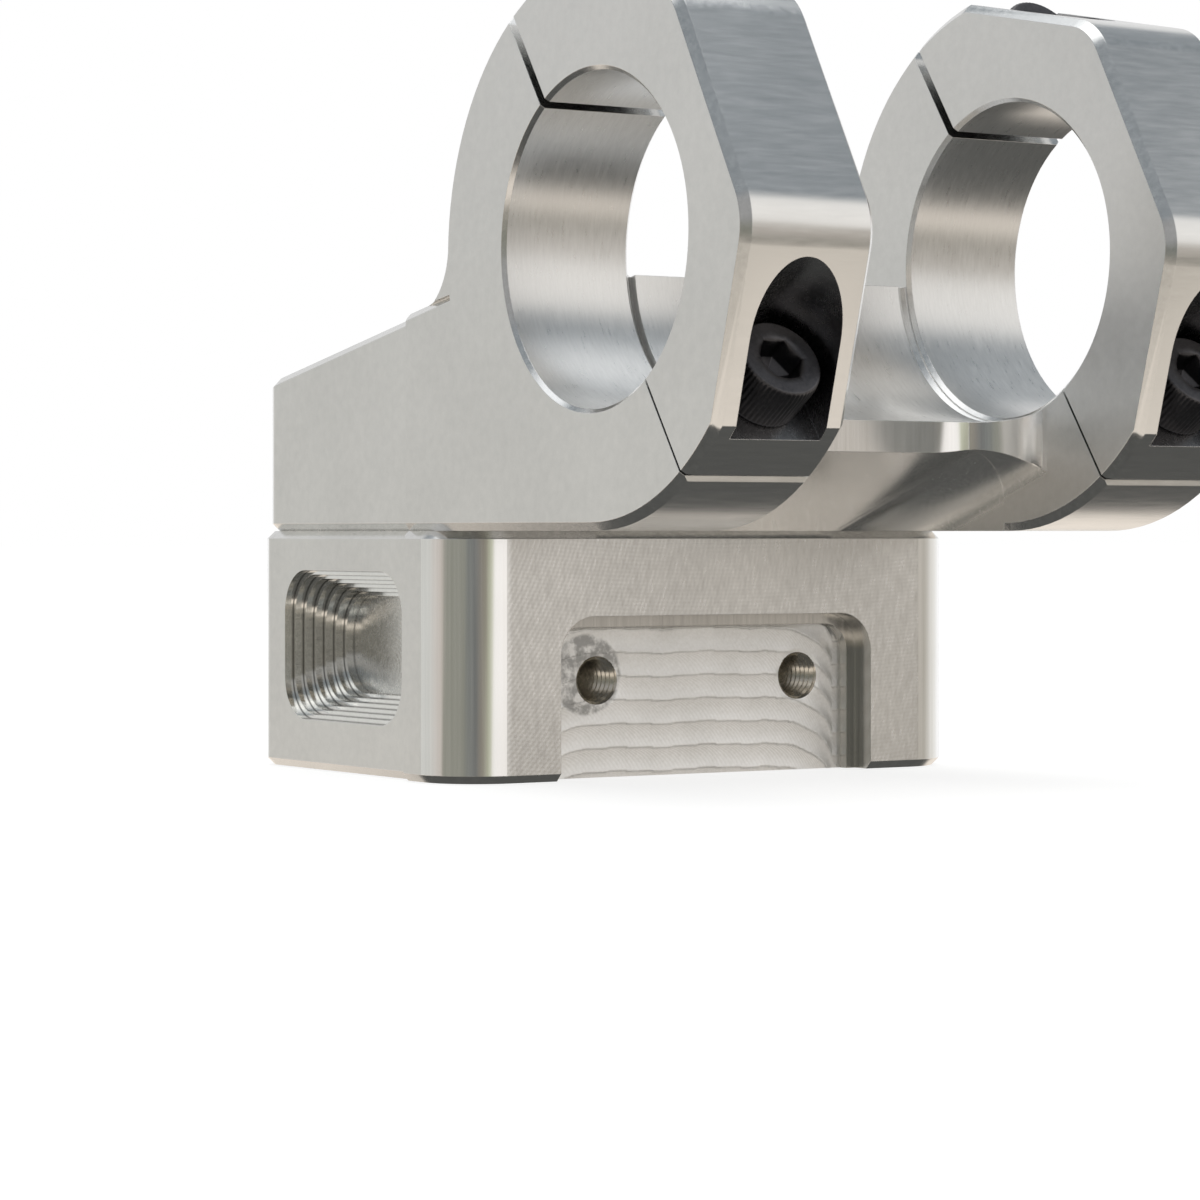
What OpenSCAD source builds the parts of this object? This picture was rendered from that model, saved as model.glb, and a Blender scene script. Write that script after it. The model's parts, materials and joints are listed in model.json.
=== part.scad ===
// Handlebar riser for a 31.8 mm bar: a milled spacer block, a forked clamp body that is
// screwed down onto it, and two clamp caps split off at a slant.
// Millimetres. +Z is up and -Y is forward. The origin is the middle of the block's base.

/* [Bar clamps] */
// Diameter of the handlebar where it is clamped
bar_d = 31.8; // [25.4:0.1:35]
// Width of each clamp along the bar
clamp_w = 14.6; // [12:0.2:18]
// Distance between the middles of the two clamps
clamp_pitch = 49.4; // [46:0.2:60]
// Metal from the bore out to the round outline of a clamp
clamp_wall = 11.4; // [10.6:0.1:13]
// Metal from the bore out to the cap's top flat
top_wall = 8.9; // [8:0.1:10]
// Metal from the bore out to the cap's slanted flat
slant_wall = 6.9; // [6:0.1:7.6]
// Metal from the bore out to the cap's front flat
front_wall = 8.7; // [8:0.1:9.4]
// Elevation of the top flat's normal above straight ahead
top_angle = 78.7; // [76:0.1:80]
// Elevation of the slanted flat's normal
slant_angle = 29; // [26:0.5:32]
// Elevation of the front flat's normal
front_angle = -15.5; // [-18:0.5:-12]
// Radius between the top and slanted flats
top_corner_r = 6; // [3:0.5:7]
// Radius between the slanted and front flats
front_corner_r = 7; // [3:0.5:8]
// Elevation of the split's normal
split_angle = 34; // [30:0.5:38]
// Gap left at the lower side of the split
lower_gap = 0.25; // [0.1:0.05:0.6]
// Gap left at the upper side of the split
upper_gap = 1; // [0.4:0.1:1.4]

/* [Clamp screws] */
// Thread diameter of the clamp screws
clamp_screw_d = 5; // [4:0.5:5]
// Length of a clamp screw under its head
clamp_screw_len = 16; // [12:1:18]
// From the bore's surface out to a screw's axis
screw_offset = 5.3; // [5.1:0.1:5.6]
// From the split up to the lower screw's seat
lower_seat = 5.5; // [5:0.1:6]
// From the split up to the upper screw's seat
upper_seat = 6.2; // [5.5:0.1:6.6]
// Width of the pocket that a head sits in
head_pocket_w = 10; // [9.4:0.1:10.4]

/* [Clamp body] */
// Thickness of the platform at its rear face
platform_rear_t = 16.1; // [13:0.1:18]
// Slope of the platform's top, rising towards the bar
platform_slope = 10.2; // [8:0.1:12]
// How far the platform stops short of the block's rear face
body_rear_gap = 0.7; // [0.2:0.1:2]
// Bar's axis to the web's upright front wall, towards the rear
web_setback = 1; // [0:0.1:2]
// From the bar's surface down to the web's front lower edge
web_depth = 3.6; // [3:0.1:4.5]
// Slope of the web's underside, rising forwards
underside_slope = 19.4; // [17:0.1:22]
// Upright fillet between the web's wall and the clamps
web_fillet_r = 8.5; // [5:0.5:10]
// Fillet between the web's underside and the clamps
underside_fillet_r = 5; // [3:0.5:6]
// Gap that the web leaves under the bar
saddle_clearance = 0.5; // [0.2:0.1:1]
// Fillet behind each clamp, down to the platform
heel_fillet_r = 6; // [3:0.5:8]
// Rear upright corners of the platform and the block
rear_corner_r = 3; // [1.5:0.5:5]

/* [Riser block] */
// Height of the block
block_h = 25.4; // [24:0.1:32]
// Depth of the block, front to rear
block_depth = 44; // [42:0.5:50]
// How much wider the block is than the clamp body
block_extra_w = 0.5; // [0:0.1:1]
// Block's front face forward to the bar's axis
bar_reach = 25.2; // [24:0.1:30]
// Front upright corners of the block
front_corner_block_r = 7; // [4:0.5:8]
// Depth of the step down to the rear part of each side
side_step = 1.2; // [0.6:0.1:1.6]
// Block's front face back to that step
step_back = 10.2; // [8:0.1:12]

/* [Front pocket] */
// Width of the front pocket
front_pocket_w = 39; // [36:0.5:42]
// From the block's top down to the pocket
front_pocket_top = 8.7; // [7:0.1:10]
// Depth of the front pocket
front_pocket_d = 4; // [2.5:0.1:4.5]
// Upper corners of the front pocket
front_pocket_r = 4; // [2.5:0.5:6]
// Fillet round the front pocket's floor
front_pocket_fillet = 1.2; // [0.6:0.1:2]
// Spacing of the two tapped holes in it
accessory_pitch = 25.4; // [23:0.1:26]
// Height of those holes above the block's base
accessory_z = 10; // [8:0.5:11]
// Tapping diameter of those holes
accessory_d = 4.2; // [3.3:0.1:4.5]
// Depth of those holes
accessory_depth = 8; // [6:0.5:10]

/* [Side pockets] */
// Length of a side pocket at its mouth
side_pocket_l = 25.4; // [22:0.2:27]
// Height of a side pocket at its mouth
side_pocket_h = 15.9; // [14:0.1:17]
// From the block's rear face forward to the pocket
side_pocket_rear = 6.3; // [5:0.1:8]
// From the block's top down to the pocket
side_pocket_top = 4.2; // [3.6:0.1:5]
// Number of terraces in a side pocket
terraces = 7; // [5:1:8]
// Depth of each terrace
terrace_d = 1; // [0.6:0.05:1.1]
// How much each terrace is set in from the last
terrace_inset = 0.45; // [0.3:0.05:0.5]
// Corners of every terrace
side_pocket_r = 4.5; // [3:0.1:5]

/* [Body screws] */
// Thread diameter of the screws that hold the body down
body_screw_d = 6; // [5:0.5:6]
// Length of a body screw under its head
body_screw_len = 25; // [22:1:28]
// Spacing of the screws across the block
bolt_pitch_x = 38; // [37:0.1:39]
// Spacing of the screws front to rear
bolt_pitch_y = 26; // [25:0.1:27]
// Metal left under a body screw's washer
body_seat_t = 9; // [7:0.1:10]
// Diameter of the pocket for a washer and head
body_pocket_d = 12; // [11.6:0.1:12.4]
// Outer diameter of a washer
washer_d = 11; // [10.4:0.1:11.2]
// Thickness of a washer
washer_t = 1.6; // [1:0.1:2]

/* [Edges] */
// Chamfer on the outer edges
edge_c = 0.8; // [0.4:0.1:1]
// Chamfer at the mouths of the bores and holes
mouth_c = 0.4; // [0.2:0.1:0.6]
// Chamfer on the split's outer edges and the side step
broken_edge = 0.4; // [0.2:0.1:0.5]
// Clearance of a screw in a plain hole, on the radius
screw_clearance = 0.25; // [0.15:0.05:0.4]
// Clearance of a screw in its tapped hole, on the radius
thread_clearance = 0.05; // [0.02:0.01:0.1]

/* [Hidden] */
$fn = 96;

aluminium = [0.78, 0.78, 0.77];
black_oxide = [0.1, 0.1, 0.11];
washer_grey = [0.45, 0.45, 0.46];

// Extra length that lets a cut pass clean through.
past = 1;
// Extra radius that makes a fillet cross its neighbours and not only touch them.
hair = 0.02;
// Longer than anything in the part, for cuts and half spaces.
far = 200;

bar_r = bar_d / 2;
clamp_r = bar_r + clamp_wall;
body_w = clamp_pitch + clamp_w;
fork_w = clamp_pitch - clamp_w;
block_w = body_w + block_extra_w;

// The bar's axis. The round outline of the clamps touches the body's base plane.
axis_y = -block_depth / 2 - bar_reach;
axis_z = block_h + clamp_r;

// Distances behind the bar's axis, used in the clamp body.
body_rear = bar_reach + block_depth - body_rear_gap;
body_step = bar_reach + step_back;
platform_top = body_rear * sin(platform_slope) + (platform_rear_t - clamp_r) * cos(platform_slope);

// Clamp screws, measured in the split's own frame.
screw_s = bar_r + screw_offset;
screw_depth = clamp_screw_len + 1.5;
clamp_head_d = 1.7 * clamp_screw_d;
clamp_hex = 0.8 * clamp_screw_d;

// Body screws.
body_head_d = 10 / 6 * body_screw_d;
body_hex = 5 / 6 * body_screw_d;
body_tap_top = body_screw_len - body_seat_t - washer_t + past;
body_tap_r = 2.5 / 6 * body_screw_d;

// Turns what is drawn along Z so that it points at an elevation above straight ahead.
module point_at(elevation) rotate([90 - elevation, 0, 0]) children();

// Moves what is drawn round the bar's axis to its place.
module at_bar() translate([0, axis_y, axis_z]) children();

// A slab with its face at z = 0, w wide in X, with both long edges of that face broken.
module edge_slab(w, c) {
    rotate([90, 0, 0]) linear_extrude(2 * far, center = true)
        polygon([[-w / 2, -far], [w / 2, -far], [w / 2, -c], [w / 2 - c, 0],
            [c - w / 2, 0], [-w / 2, -c]]);
}

// The same slab as a flat at a distance from the bar's axis, facing an elevation.
module flat_at(elevation, distance, w, c) {
    point_at(elevation) translate([0, 0, distance]) edge_slab(w, c);
}

// A disc along Z, centred, with both rims broken.
module disc(r, h, c) {
    rotate_extrude()
        polygon([[0, -h / 2], [r - c, -h / 2], [r, c - h / 2], [r, h / 2 - c],
            [r - c, h / 2], [0, h / 2]]);
}

// The same disc with its axis along X.
module barrel(r, w, c) rotate([0, 90, 0]) disc(r, w, c);

// A hole cutter along X whose mouths at plus and minus w / 2 open out by c.
module flared_bore(r, w, c) {
    rotate([0, 90, 0]) rotate_extrude()
        polygon([[0, -w / 2 - past], [r + c + past, -w / 2 - past], [r, c - w / 2],
            [r, w / 2 - c], [r + c + past, w / 2 + past], [0, w / 2 + past]]);
}

// Waste at the corner between two flats, so that taking it away leaves a radius r.
module corner_waste(a1, d1, a2, d2, r, w, c) {
    e1 = d1 - r;
    e2 = d2 - r;
    ahead = (e1 * sin(a2) - e2 * sin(a1)) / sin(a2 - a1);
    up = (e2 * cos(a1) - e1 * cos(a2)) / sin(a2 - a1);
    reach = r + past;
    tip = reach / cos((a1 - a2) / 2);
    middle = (a1 + a2) / 2;
    translate([0, -ahead, up]) difference() {
        rotate([90, 0, -90]) linear_extrude(w + 2 * past, center = true)
            polygon([[0, 0], reach * [cos(a1), sin(a1)], tip * [cos(middle), sin(middle)],
                reach * [cos(a2), sin(a2)]]);
        barrel(r, w, c);
    }
}

// Everything on the cap's side of the split, where each side has its own gap.
module cap_side() {
    point_at(split_angle) {
        translate([-far, 0, upper_gap]) cube([2 * far, far, far]);
        translate([-far, -far, lower_gap]) cube([2 * far, far, far]);
    }
}

// Breaks the edge where the split's lower side meets the round outline.
module split_edge_cut(h) {
    point_at(split_angle) translate([0, -clamp_r, h]) rotate([45, 0, 0])
        cube([far, broken_edge * sqrt(2), broken_edge * sqrt(2)], center = true);
}

// A screw head's pocket: round at the screw and open to the outside, dir is 1 or -1.
module head_pocket(dir, seat) {
    point_at(split_angle) translate([0, dir * screw_s, seat]) linear_extrude(far) {
        circle(d = head_pocket_w);
        translate([-head_pocket_w / 2, dir > 0 ? 0 : -far]) square([head_pocket_w, far]);
    }
}

// A hole on a clamp screw's axis, from height h0 to h1 above the split.
module clamp_hole(dir, r, h0, h1) {
    point_at(split_angle) translate([0, dir * screw_s, h0]) cylinder(r = r, h = h1 - h0);
}

module clamp_cap() {
    top_d = bar_r + top_wall;
    slant_d = bar_r + slant_wall;
    front_d = bar_r + front_wall;
    hole_r = clamp_screw_d / 2 + screw_clearance;
    difference() {
        intersection() {
            barrel(clamp_r, clamp_w, edge_c);
            flat_at(top_angle, top_d, clamp_w, edge_c);
            flat_at(slant_angle, slant_d, clamp_w, edge_c);
            flat_at(front_angle, front_d, clamp_w, edge_c);
            cap_side();
        }
        corner_waste(top_angle, top_d, slant_angle, slant_d, top_corner_r, clamp_w, edge_c);
        corner_waste(slant_angle, slant_d, front_angle, front_d, front_corner_r, clamp_w, edge_c);
        flared_bore(bar_r, clamp_w, mouth_c);
        head_pocket(-1, lower_seat);
        head_pocket(1, upper_seat);
        clamp_hole(-1, hole_r, -past, lower_seat + past);
        clamp_hole(1, hole_r, -past, upper_seat + past);
        split_edge_cut(lower_gap);
    }
}

// A cap screw with its seat at z = 0, its head above and its shank below.
module socket_screw(d, len, head_d, hex) {
    head_h = d;
    rim = 0.08 * d;
    tip = 0.15 * d;
    difference() {
        union() {
            rotate_extrude()
                polygon([[0, 0], [head_d / 2, 0], [head_d / 2, head_h - rim],
                    [head_d / 2 - rim, head_h], [0, head_h]]);
            rotate_extrude()
                polygon([[0, -len], [d / 2 - tip, -len], [d / 2, tip - len], [d / 2, 0], [0, 0]]);
        }
        translate([0, 0, head_h / 2]) cylinder(d = hex / cos(30), h = head_h, $fn = 6);
    }
}

// A clamp screw: side is -1 for left and 1 for right, dir is -1 for lower and 1 for upper.
module clamp_screw(side, dir, seat) {
    color(black_oxide) at_bar() translate([side * clamp_pitch / 2, 0, 0])
        point_at(split_angle) translate([0, dir * screw_s, seat])
            socket_screw(clamp_screw_d, clamp_screw_len, clamp_head_d, clamp_hex);
}

// The fillet behind a clamp, where its round outline comes down to the platform.
module heel_fillet() {
    // Centre of the fillet's round: outside the clamp's circle and above the platform.
    out = clamp_r + heel_fillet_r;
    above = platform_top + heel_fillet_r;
    lean = acos(above / out);
    angle = 90 + platform_slope + lean;
    centre = out * [cos(angle), sin(angle)];
    foot = centre - heel_fillet_r * [cos(90 + platform_slope), sin(90 + platform_slope)];
    difference() {
        rotate([90, 0, -90]) linear_extrude(clamp_w, center = true)
            polygon([[0, 0], clamp_r * [cos(angle), sin(angle)], centre, foot]);
        translate([0, -centre[0], centre[1]]) flared_bore(heel_fillet_r + hair, clamp_w, edge_c);
    }
}

// The two round rear halves of the clamps. The platform takes their lower rear quarters.
module clamp_lugs() {
    quarter_top = -clamp_r / 3;
    for (side = [-1, 1]) translate([side * clamp_pitch / 2, 0, 0]) {
        difference() {
            barrel(clamp_r, clamp_w, edge_c);
            translate([-far, 0, quarter_top - far]) cube([2 * far, far, far]);
        }
        heel_fillet();
    }
}

// One length of the platform, between two distances behind the bar's axis.
module platform_part(y0, y1, w) {
    intersection() {
        flat_at(90 + platform_slope, platform_top, w, edge_c);
        flat_at(-90, clamp_r, w, edge_c);
        translate([-far, y0, -far]) cube([2 * far, y1 - y0, 2 * far]);
    }
}

// Breaks the upright edge of the step in each side, at distance y behind the origin.
module step_edge_cut(half_w, y, z0, z1) {
    beyond = (side_step - broken_edge) / 2;
    for (side = [0, 1]) mirror([side, 0, 0]) translate([half_w, y, z0]) linear_extrude(z1 - z0)
        polygon([[beyond, -broken_edge - beyond], [beyond, beyond],
            [-broken_edge - beyond, beyond]]);
}

// Everything behind a plane that faces an elevation at a distance from the bar's axis.
module behind_plane(elevation, distance) {
    point_at(elevation) translate([-far, -far, distance - 2 * far]) cube(2 * far);
}

// Limits that break the platform's rear edge at the top and the bottom.
module rear_edge_limits() {
    top = [-body_rear, platform_rear_t - clamp_r];
    foot = [-body_rear, -clamp_r];
    top_a = 135 + platform_slope / 2;
    foot_a = -135;
    intersection() {
        behind_plane(top_a,
            top * [cos(top_a), sin(top_a)] - edge_c * sin(45 - platform_slope / 2));
        behind_plane(foot_a, foot * [cos(foot_a), sin(foot_a)] - edge_c * sin(45));
    }
}

// Waste at the platform's rear upright corners.
module platform_corner_waste() {
    half_w = body_w / 2 - side_step;
    r = rear_corner_r;
    for (side = [-1, 1]) translate([side * (half_w - r), body_rear - r, -clamp_r])
        difference() {
            translate([side > 0 ? 0 : -r - past, 0, -past])
                cube([r + past, r + past, platform_rear_t + 2 * r + 2 * past]);
            intersection() {
                translate([0, 0, far / 2]) disc(r, far, edge_c);
                rise = platform_rear_t + r * tan(platform_slope);
                translate([0, 0, rise]) rotate([-platform_slope, 0, 0]) translate([0, 0, -far])
                    cylinder(r1 = far + r - edge_c, r2 = r - edge_c, h = far);
            }
        }
}

// Space between the clamps in front of the web, with its two upright fillets.
module fork_cut() {
    r = web_fillet_r;
    translate([0, 0, -far]) linear_extrude(2 * far) difference() {
        translate([-fork_w / 2, web_setback - far]) square([fork_w, far]);
        for (side = [-1, 1]) translate([side * (fork_w / 2 - r), web_setback - r]) difference() {
            translate([side > 0 ? 0 : -r, 0]) square([r + past, r + past]);
            circle(r = r);
        }
    }
}

// Space under the web: a round-cornered channel that rises forwards.
module underside_cut() {
    r = underside_fillet_r;
    half = fork_w / 2;
    edge_z = -bar_r - web_depth;
    translate([0, web_setback, edge_z]) rotate([-underside_slope, 0, 0]) rotate([90, 0, 0])
        linear_extrude(2 * far, center = true) {
            translate([-half, -far]) square([2 * half, far - r]);
            translate([r - half, -far]) square([2 * half - 2 * r, far]);
            for (side = [-1, 1]) translate([side * (half - r), -r]) circle(r = r);
        }
}

// Space between the clamps above the platform.
module above_platform_cut() {
    point_at(90 + platform_slope) translate([-fork_w / 2, -far, platform_top])
        cube([fork_w, 2 * far, far]);
}

// Pockets and plain holes for the four screws that hold the body down.
module body_screw_cuts() {
    for (x = [-1, 1], y = [-1, 1])
        translate([x * bolt_pitch_x / 2, y * bolt_pitch_y / 2, block_h]) {
            translate([0, 0, -past]) cylinder(d = body_screw_d + 2 * screw_clearance, h = far);
            translate([0, 0, body_seat_t]) cylinder(d = body_pocket_d, h = far);
        }
}

module clamp_body() {
    tap_r = clamp_screw_d / 2 + thread_clearance;
    color(aluminium) difference() {
        at_bar() difference() {
            union() {
                clamp_lugs();
                platform_part(0, body_step, body_w);
                intersection() {
                    platform_part(body_step - past, body_rear, body_w - 2 * side_step);
                    rear_edge_limits();
                }
            }
            intersection() {
                translate([-fork_w / 2, -far, -far]) cube([fork_w, 2 * far, 2 * far]);
                union() {
                    fork_cut();
                    underside_cut();
                    above_platform_cut();
                    rotate([0, 90, 0]) cylinder(r = bar_r + saddle_clearance, h = far, center = true);
                }
            }
            for (side = [-1, 1]) translate([side * clamp_pitch / 2, 0, 0]) {
                flared_bore(bar_r, clamp_w, mouth_c);
                for (dir = [-1, 1]) clamp_hole(dir, tap_r, -screw_depth + lower_seat, past);
            }
            point_at(split_angle) translate([-far, -far, 0]) cube([2 * far, 2 * far, far]);
            split_edge_cut(0);
            step_edge_cut(body_w / 2, body_step, -far, far);
            platform_corner_waste();
        }
        body_screw_cuts();
    }
}

// One length of the block, between two distances behind its front face.
module block_part(y0, y1, w) {
    translate([0, (y0 + y1) / 2 - block_depth / 2, block_h / 2]) rotate([90, 0, 0])
        linear_extrude(y1 - y0, center = true) chamfered_rect(w, block_h, edge_c);
}

// A rectangle with its four corners cut off.
module chamfered_rect(w, h, c) {
    polygon([[c - w / 2, -h / 2], [w / 2 - c, -h / 2], [w / 2, c - h / 2], [w / 2, h / 2 - c],
        [w / 2 - c, h / 2], [c - w / 2, h / 2], [-w / 2, h / 2 - c], [-w / 2, c - h / 2]]);
}

// Waste at two upright corners of the block; dir is -1 for the front and 1 for the rear.
module block_corner_waste(half_w, dir, r) {
    for (side = [-1, 1]) translate([side * (half_w - r), dir * (block_depth / 2 - r), block_h / 2])
        difference() {
            translate([side > 0 ? 0 : -r - past, dir > 0 ? 0 : -r - past, -block_h / 2 - past])
                cube([r + past, r + past, block_h + 2 * past]);
            disc(r, block_h, edge_c);
        }
}

// The front pocket's cutter, drawn at the origin with its mouth at y = 0 and open below.
module front_pocket() {
    f = front_pocket_fillet;
    r = front_pocket_r;
    half = front_pocket_w / 2;
    top = block_h - front_pocket_top;
    rotate([90, 0, 0]) mirror([0, 0, 1]) {
        translate([0, 0, -past]) linear_extrude(front_pocket_d - f + past) pocket_outline(0);
        linear_extrude(front_pocket_d) pocket_outline(f);
        translate([0, 0, front_pocket_d - f]) {
            for (side = [-1, 1]) {
                translate([side * (half - f), -past, 0]) rotate([-90, 0, 0])
                    cylinder(r = f, h = top - r + past);
                translate([side * (half - r), top - r, 0]) rotate_extrude()
                    translate([r - f, 0]) circle(r = f);
            }
            translate([r - half, top - f, 0]) rotate([0, 90, 0]) cylinder(r = f, h = 2 * (half - r));
        }
    }
}

// Outline of the front pocket, set in by a distance.
module pocket_outline(inset) {
    half = front_pocket_w / 2 - inset;
    top = block_h - front_pocket_top - inset;
    r = front_pocket_r - inset;
    translate([-half, -past]) square([2 * half, top - r + past]);
    translate([r - half, -past]) square([2 * (half - r), top + past]);
    for (side = [-1, 1]) translate([side * (half - r), top - r]) circle(r = r);
}

// A rectangle with round corners, centred.
module round_rect(w, h, r) {
    square([w, h - 2 * r], center = true);
    square([w - 2 * r, h], center = true);
    for (x = [-1, 1], y = [-1, 1]) translate([x * (w / 2 - r), y * (h / 2 - r)]) circle(r = r);
}

// One terraced side pocket, cut inwards from the face at x = 0 towards +X.
module side_pocket() {
    for (i = [0 : terraces - 1])
        rotate([90, 0, 90]) translate([0, 0, -past])
            linear_extrude(past + (i + 1) * terrace_d)
                round_rect(side_pocket_l - 2 * i * terrace_inset,
                    side_pocket_h - 2 * i * terrace_inset, side_pocket_r);
}

module side_pockets() {
    y = block_depth / 2 - side_pocket_rear - side_pocket_l / 2;
    z = block_h - side_pocket_top - side_pocket_h / 2;
    for (side = [0, 1]) mirror([side, 0, 0])
        translate([side_step - block_w / 2, y, z]) side_pocket();
}

// Tapped holes right through the block: the upper part holds the body's own screws.
module block_holes() {
    shank_r = body_screw_d / 2 + thread_clearance;
    for (x = [-1, 1], y = [-1, 1])
        translate([x * bolt_pitch_x / 2, y * bolt_pitch_y / 2, 0]) {
            translate([0, 0, -past]) cylinder(r = body_tap_r, h = block_h);
            translate([0, 0, block_h - body_tap_top]) cylinder(r = shank_r, h = far);
            translate([0, 0, -past])
                cylinder(r1 = body_tap_r + mouth_c + past, r2 = body_tap_r, h = mouth_c + past);
        }
}

module accessory_holes() {
    r = accessory_d / 2;
    for (side = [-1, 1])
        translate([side * accessory_pitch / 2, front_pocket_d - block_depth / 2, accessory_z])
            rotate([-90, 0, 0]) {
                translate([0, 0, -past]) cylinder(r = r, h = accessory_depth + past);
                translate([0, 0, -past]) cylinder(r1 = r + mouth_c + past, r2 = r, h = mouth_c + past);
            }
}

module riser_block() {
    color(aluminium) difference() {
        intersection() {
            union() {
                block_part(0, step_back, block_w);
                block_part(step_back - past, block_depth, block_w - 2 * side_step);
            }
            translate([0, 0, block_h / 2]) rotate([90, 0, 90]) linear_extrude(far, center = true)
                chamfered_rect(block_depth, block_h, edge_c);
        }
        block_corner_waste(block_w / 2, -1, front_corner_block_r);
        block_corner_waste(block_w / 2 - side_step, 1, rear_corner_r);
        step_edge_cut(block_w / 2, step_back - block_depth / 2, -past, block_h + past);
        translate([0, -block_depth / 2, 0]) front_pocket();
        side_pockets();
        block_holes();
        accessory_holes();
    }
}

module left_clamp_cap() color(aluminium) at_bar() translate([-clamp_pitch / 2, 0, 0]) clamp_cap();
module right_clamp_cap() color(aluminium) at_bar() translate([clamp_pitch / 2, 0, 0]) clamp_cap();

// A body screw on its washer: x is -1 for left, y is -1 for front.
module body_screw(x, y) {
    color(black_oxide)
        translate([x * bolt_pitch_x / 2, y * bolt_pitch_y / 2, block_h + body_seat_t + washer_t])
            socket_screw(body_screw_d, body_screw_len, body_head_d, body_hex);
}

module washer(x, y) {
    color(washer_grey)
        translate([x * bolt_pitch_x / 2, y * bolt_pitch_y / 2, block_h + body_seat_t])
            difference() {
                cylinder(d = washer_d, h = washer_t);
                translate([0, 0, -past])
                    cylinder(d = body_screw_d + 2 * screw_clearance, h = washer_t + 2 * past);
            }
}

riser_block();
clamp_body();
left_clamp_cap();
right_clamp_cap();
clamp_screw(-1, -1, lower_seat);  // left_lower_clamp_screw
clamp_screw(-1, 1, upper_seat);  // left_upper_clamp_screw
clamp_screw(1, -1, lower_seat);  // right_lower_clamp_screw
clamp_screw(1, 1, upper_seat);  // right_upper_clamp_screw
body_screw(-1, 1);  // rear_left_body_screw
body_screw(1, 1);  // rear_right_body_screw
body_screw(-1, -1);  // front_left_body_screw
body_screw(1, -1);  // front_right_body_screw
washer(-1, 1);  // rear_left_washer
washer(1, 1);  // rear_right_washer
washer(-1, -1);  // front_left_washer
washer(1, -1);  // front_right_washer
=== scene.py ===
# %% [markdown]
# Handlebar riser: the looks.
# The CAD model gives every piece its true size and place. This notebook gives the
# pieces their finish: milled aluminium with cutter marks, knurled black screws,
# real threads in the tapped holes and the scalloped floor of the front pocket.
# Shapes are worked out in millimetres and become meshes in metres. Both are in the
# CAD frame: +Z up and -Y forward.

# %% Load the frame
import json
import math

import bmesh
import bpy
import numpy as np
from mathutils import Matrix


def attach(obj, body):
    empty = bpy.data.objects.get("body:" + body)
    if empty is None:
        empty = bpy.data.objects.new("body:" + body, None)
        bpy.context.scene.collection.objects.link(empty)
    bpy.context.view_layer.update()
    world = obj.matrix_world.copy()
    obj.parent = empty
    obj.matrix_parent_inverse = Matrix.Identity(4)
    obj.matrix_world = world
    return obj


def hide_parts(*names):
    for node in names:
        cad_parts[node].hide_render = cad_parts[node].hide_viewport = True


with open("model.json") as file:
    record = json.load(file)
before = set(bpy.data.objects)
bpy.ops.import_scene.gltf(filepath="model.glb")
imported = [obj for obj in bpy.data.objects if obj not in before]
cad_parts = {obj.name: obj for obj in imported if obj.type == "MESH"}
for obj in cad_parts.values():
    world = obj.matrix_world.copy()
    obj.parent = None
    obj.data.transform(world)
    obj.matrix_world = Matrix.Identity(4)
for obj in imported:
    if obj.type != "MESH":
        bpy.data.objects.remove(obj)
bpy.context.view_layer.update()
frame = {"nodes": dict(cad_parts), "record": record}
MM = 0.001
mounts = {m["name"]: m for m in frame["record"]["mounts"]}
clamp_mount = mounts["left_bar_clamp"]
bore_axis = np.array(clamp_mount["pos_m"])
bore_y, bore_z = bore_axis[1], bore_axis[2]
print("CAD nodes:", len(frame["nodes"]), "bores' axis at", bore_y, bore_z)

# %% [markdown]
# The camera comes first. It stands in front of the left clamp, level with the base
# of the clamp body, and looks 32.7 degrees to the right of straight back. A level
# camera keeps upright edges upright. The horizon of the picture lies a little above
# its middle, and a small downward lens shift does that without tilting the camera.

# %% Camera
CAMERA_PLACE = (-221.79 * MM, -344.6 * MM, 25.2 * MM)
CAMERA_YAW = 32.68
FOCAL_PIXELS = 3764.0
PICTURE_PIXELS = 1200.0
HORIZON_ROW = 532.9
SENSOR = 36.0

camera_data = bpy.data.cameras.new("camera")
camera_data.sensor_width = SENSOR
camera_data.lens = FOCAL_PIXELS / PICTURE_PIXELS * SENSOR
camera_data.shift_y = (HORIZON_ROW - PICTURE_PIXELS / 2) / PICTURE_PIXELS
camera_data.clip_start = 0.01
camera_data.clip_end = 50.0
camera = bpy.data.objects.new("camera", camera_data)
camera.location = CAMERA_PLACE
camera.rotation_euler = (math.radians(90), 0, -math.radians(CAMERA_YAW))
bpy.context.scene.collection.objects.link(camera)
bpy.context.scene.camera = camera
print("lens", round(camera_data.lens, 1), "mm, shift", round(camera_data.shift_y, 4))

# %% [markdown]
# Every finish here is a small graph of shader nodes. Four short helpers add a node,
# do one sum, run a value through a colour ramp and mix two colours, so that each
# material below reads as a list of steps.

# %% Node helpers
def node(tree, kind, **values):
    """Adds a node and sets its properties, or its inputs where a name is one."""
    made = tree.nodes.new(kind)
    for key, value in values.items():
        if key in made.inputs:
            made.inputs[key].default_value = value
        else:
            setattr(made, key, value)
    return made


def math_node(tree, operation, first, second=None):
    """One Math node whose inputs are numbers or sockets; returns its output."""
    made = node(tree, "ShaderNodeMath", operation=operation)
    for socket, value in zip(made.inputs, (first, second)):
        if value is None:
            continue
        if isinstance(value, bpy.types.NodeSocket):
            tree.links.new(value, socket)
        else:
            socket.default_value = value
    return made.outputs[0]


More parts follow.
